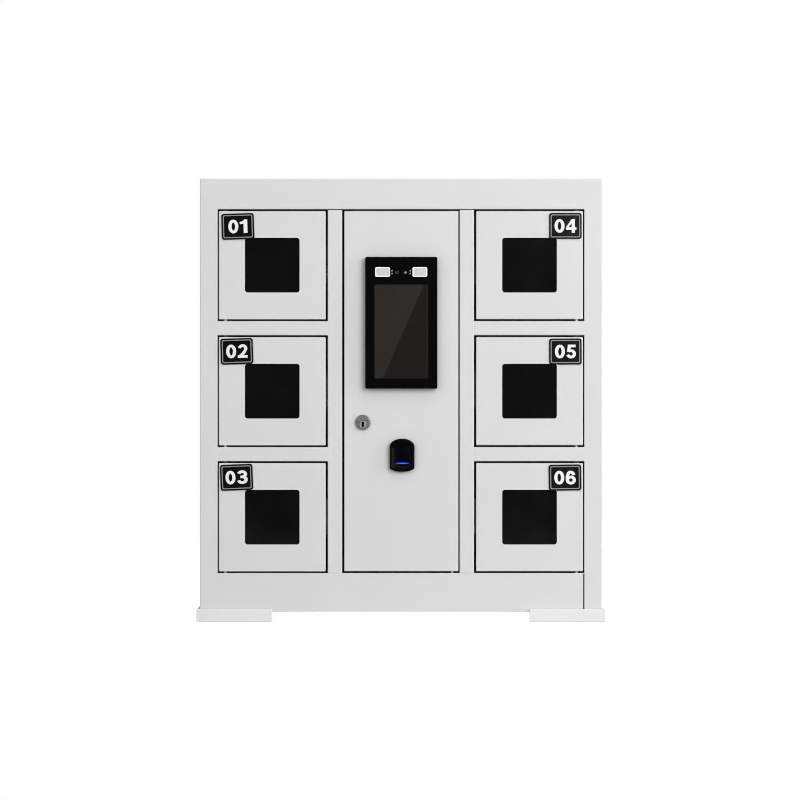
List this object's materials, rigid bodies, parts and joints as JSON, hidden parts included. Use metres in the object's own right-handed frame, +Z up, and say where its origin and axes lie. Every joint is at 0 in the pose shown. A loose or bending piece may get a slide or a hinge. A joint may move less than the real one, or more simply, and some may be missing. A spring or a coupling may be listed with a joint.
{
  "type": "phone charging kiosk",
  "caption": "Steel cabinet with columns of small locking doors with dark windows, either side of a tall service door with a touch terminal and fingerprint reader.",
  "frame": {"origin": "middle of the kiosk's box, at the underside of its feet", "axes": "+Z up, front towards -Y, +X to the right as seen from the front"},
  "size_m": [0.508, 0.209, 0.551],
  "materials": {
    "body_paint": "light grey powder coat, satin",
    "foot_plastic": "white moulded plastic",
    "smoked_acrylic": "dark smoked acrylic, gloss",
    "plate_black": "black printed plate",
    "print_white": "white print",
    "zinc_steel": "zinc-plated steel",
    "chrome_trim": "dull chrome",
    "black_plastic": "black moulded plastic",
    "terminal_glass": "black-backed cover glass, gloss",
    "screen": "display, dark",
    "lamp_white": "white diffuser",
    "sensor_glass": "dark sensor window",
    "sensor_light": "blue light bar",
    "aluminium_case": "perforated case",
    "circuit_board": "green solder mask",
    "component_black": "moulded component bodies",
    "brass_contact": "contacts and terminals",
    "outlet_white": "white moulded plastic",
    "rubber_pad": "black rubber"
  },
  "bodies": {
    "cabinet": {"back_panel": "body_paint", "top_panel": "body_paint", "bottom_panel": "body_paint", "left_side_panel": "body_paint", "right_side_panel": "body_paint", "left_partition": "body_paint", "right_partition": "body_paint", "shelf_upper_left": "body_paint", "shelf_lower_left": "body_paint", "shelf_upper_right": "body_paint", "shelf_lower_right": "body_paint", "left_foot": "foot_plastic", "right_foot": "foot_plastic", "lock_body_01": "zinc_steel", "lock_body_02": "zinc_steel", "lock_body_03": "zinc_steel", "lock_body_04": "zinc_steel", "lock_body_05": "zinc_steel", "lock_body_06": "zinc_steel", "hinge_rod_left": "zinc_steel", "hinge_rod_right": "zinc_steel", "hinge_rod_service": "zinc_steel", "power_supply": "aluminium_case", "control_board": "circuit_board", "power_inlet": "black_plastic", "charging_strip_left": "outlet_white", "charging_strip_right": "outlet_white"},
    "locker_01": {"door_01": "body_paint", "window_01": "smoked_acrylic", "number_plate_01": "plate_black"},
    "locker_02": {"door_02": "body_paint", "window_02": "smoked_acrylic", "number_plate_02": "plate_black"},
    "locker_03": {"door_03": "body_paint", "window_03": "smoked_acrylic", "number_plate_03": "plate_black"},
    "locker_04": {"door_04": "body_paint", "window_04": "smoked_acrylic", "number_plate_04": "plate_black"},
    "locker_05": {"door_05": "body_paint", "window_05": "smoked_acrylic", "number_plate_05": "plate_black"},
    "locker_06": {"door_06": "body_paint", "window_06": "smoked_acrylic", "number_plate_06": "plate_black"},
    "hook_01": {"lock_hook_01": "zinc_steel"},
    "hook_02": {"lock_hook_02": "zinc_steel"},
    "hook_03": {"lock_hook_03": "zinc_steel"},
    "hook_04": {"lock_hook_04": "zinc_steel"},
    "hook_05": {"lock_hook_05": "zinc_steel"},
    "hook_06": {"lock_hook_06": "zinc_steel"},
    "service": {"service_door": "body_paint", "terminal_housing": "black_plastic", "terminal_glass": "terminal_glass", "terminal_display": "screen", "fingerprint_housing": "black_plastic", "fingerprint_window": "sensor_glass", "cam_lock_body": "chrome_trim"},
    "cam": {"cam_lock_plug": "chrome_trim", "cam_lock_cam": "zinc_steel"}
  },
  "joints": [
    {"name": "locker_hinge_01", "type": "hinge", "parent": "cabinet", "child": "locker_01", "pos_m": [-0.2185, -0.0915, 0.4435], "axis": [0, 0, -1], "range_deg": [0, 110]},
    {"name": "locker_hinge_02", "type": "hinge", "parent": "cabinet", "child": "locker_02", "pos_m": [-0.2185, -0.0915, 0.28675], "axis": [0, 0, -1], "range_deg": [0, 110]},
    {"name": "locker_hinge_03", "type": "hinge", "parent": "cabinet", "child": "locker_03", "pos_m": [-0.2185, -0.0915, 0.13], "axis": [0, 0, -1], "range_deg": [0, 110]},
    {"name": "locker_hinge_04", "type": "hinge", "parent": "cabinet", "child": "locker_04", "pos_m": [0.2185, -0.0915, 0.4435], "axis": [0, 0, 1], "range_deg": [0, 110]},
    {"name": "locker_hinge_05", "type": "hinge", "parent": "cabinet", "child": "locker_05", "pos_m": [0.2185, -0.0915, 0.28675], "axis": [0, 0, 1], "range_deg": [0, 110]},
    {"name": "locker_hinge_06", "type": "hinge", "parent": "cabinet", "child": "locker_06", "pos_m": [0.2185, -0.0915, 0.13], "axis": [0, 0, 1], "range_deg": [0, 110]},
    {"name": "hook_pivot_01", "type": "hinge", "parent": "cabinet", "child": "hook_01", "pos_m": [-0.0999, -0.0555, 0.4495], "axis": [1, 0, 0], "range_deg": [0, 30], "stiffness_Nm_per_rad": 0.02, "springref_deg": -28.65},
    {"name": "hook_pivot_02", "type": "hinge", "parent": "cabinet", "child": "hook_02", "pos_m": [-0.0999, -0.0555, 0.29275], "axis": [1, 0, 0], "range_deg": [0, 30], "stiffness_Nm_per_rad": 0.02, "springref_deg": -28.65},
    {"name": "hook_pivot_03", "type": "hinge", "parent": "cabinet", "child": "hook_03", "pos_m": [-0.0999, -0.0555, 0.136], "axis": [1, 0, 0], "range_deg": [0, 30], "stiffness_Nm_per_rad": 0.02, "springref_deg": -28.65},
    {"name": "hook_pivot_04", "type": "hinge", "parent": "cabinet", "child": "hook_04", "pos_m": [0.0999, -0.0555, 0.4495], "axis": [1, 0, 0], "range_deg": [0, 30], "stiffness_Nm_per_rad": 0.02, "springref_deg": -28.65},
    {"name": "hook_pivot_05", "type": "hinge", "parent": "cabinet", "child": "hook_05", "pos_m": [0.0999, -0.0555, 0.29275], "axis": [1, 0, 0], "range_deg": [0, 30], "stiffness_Nm_per_rad": 0.02, "springref_deg": -28.65},
    {"name": "hook_pivot_06", "type": "hinge", "parent": "cabinet", "child": "hook_06", "pos_m": [0.0999, -0.0555, 0.136], "axis": [1, 0, 0], "range_deg": [0, 30], "stiffness_Nm_per_rad": 0.02, "springref_deg": -28.65},
    {"name": "service_hinge", "type": "hinge", "parent": "cabinet", "child": "service", "pos_m": [0.0635, -0.0915, 0.28675], "axis": [0, 0, 1], "range_deg": [0, 95]},
    {"name": "cam_lock_turn", "type": "hinge", "parent": "service", "child": "cam", "pos_m": [-0.0472, -0.0955, 0.2455], "axis": [0, -1, 0], "range_deg": [0, 90]}
  ]
}
